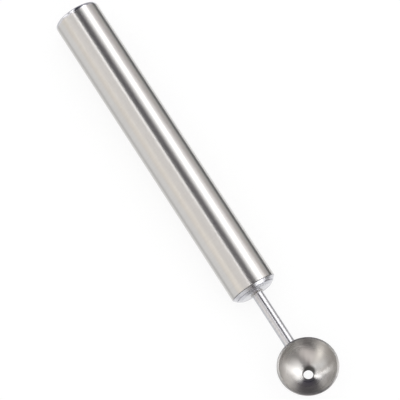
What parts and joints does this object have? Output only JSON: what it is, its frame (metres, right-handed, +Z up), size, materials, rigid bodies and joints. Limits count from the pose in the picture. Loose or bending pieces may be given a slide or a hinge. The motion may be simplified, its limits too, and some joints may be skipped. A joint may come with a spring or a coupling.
{
  "type": "melon baller",
  "caption": "Round hollow steel handle with a thin rod and a small round bowl with a drain hole, for scooping balls out of melon and other soft fruit.",
  "frame": {"origin": "under the middle of the whole tool, on the level surface that the handle lies on", "axes": "+X along the handle towards the bowl, +Y across, +Z up, out of the bowl's opening"},
  "size_m": [0.1894, 0.025, 0.02],
  "materials": {
    "tube_steel": "satin stainless steel, polished round the tube",
    "cap_steel": "satin stainless steel, turned",
    "shank_steel": "satin stainless steel, polished round the rod",
    "bowl_steel": "satin stainless steel, polished round the bowl",
    "weld_steel": "cleaned weld bead"
  },
  "bodies": {
    "root": {"handle_tube": "tube_steel", "butt_cap": "cap_steel", "front_cap": "cap_steel", "shank": "shank_steel", "shank_weld": "weld_steel", "bowl": "bowl_steel", "bowl_weld": "weld_steel"}
  },
  "joints": []
}
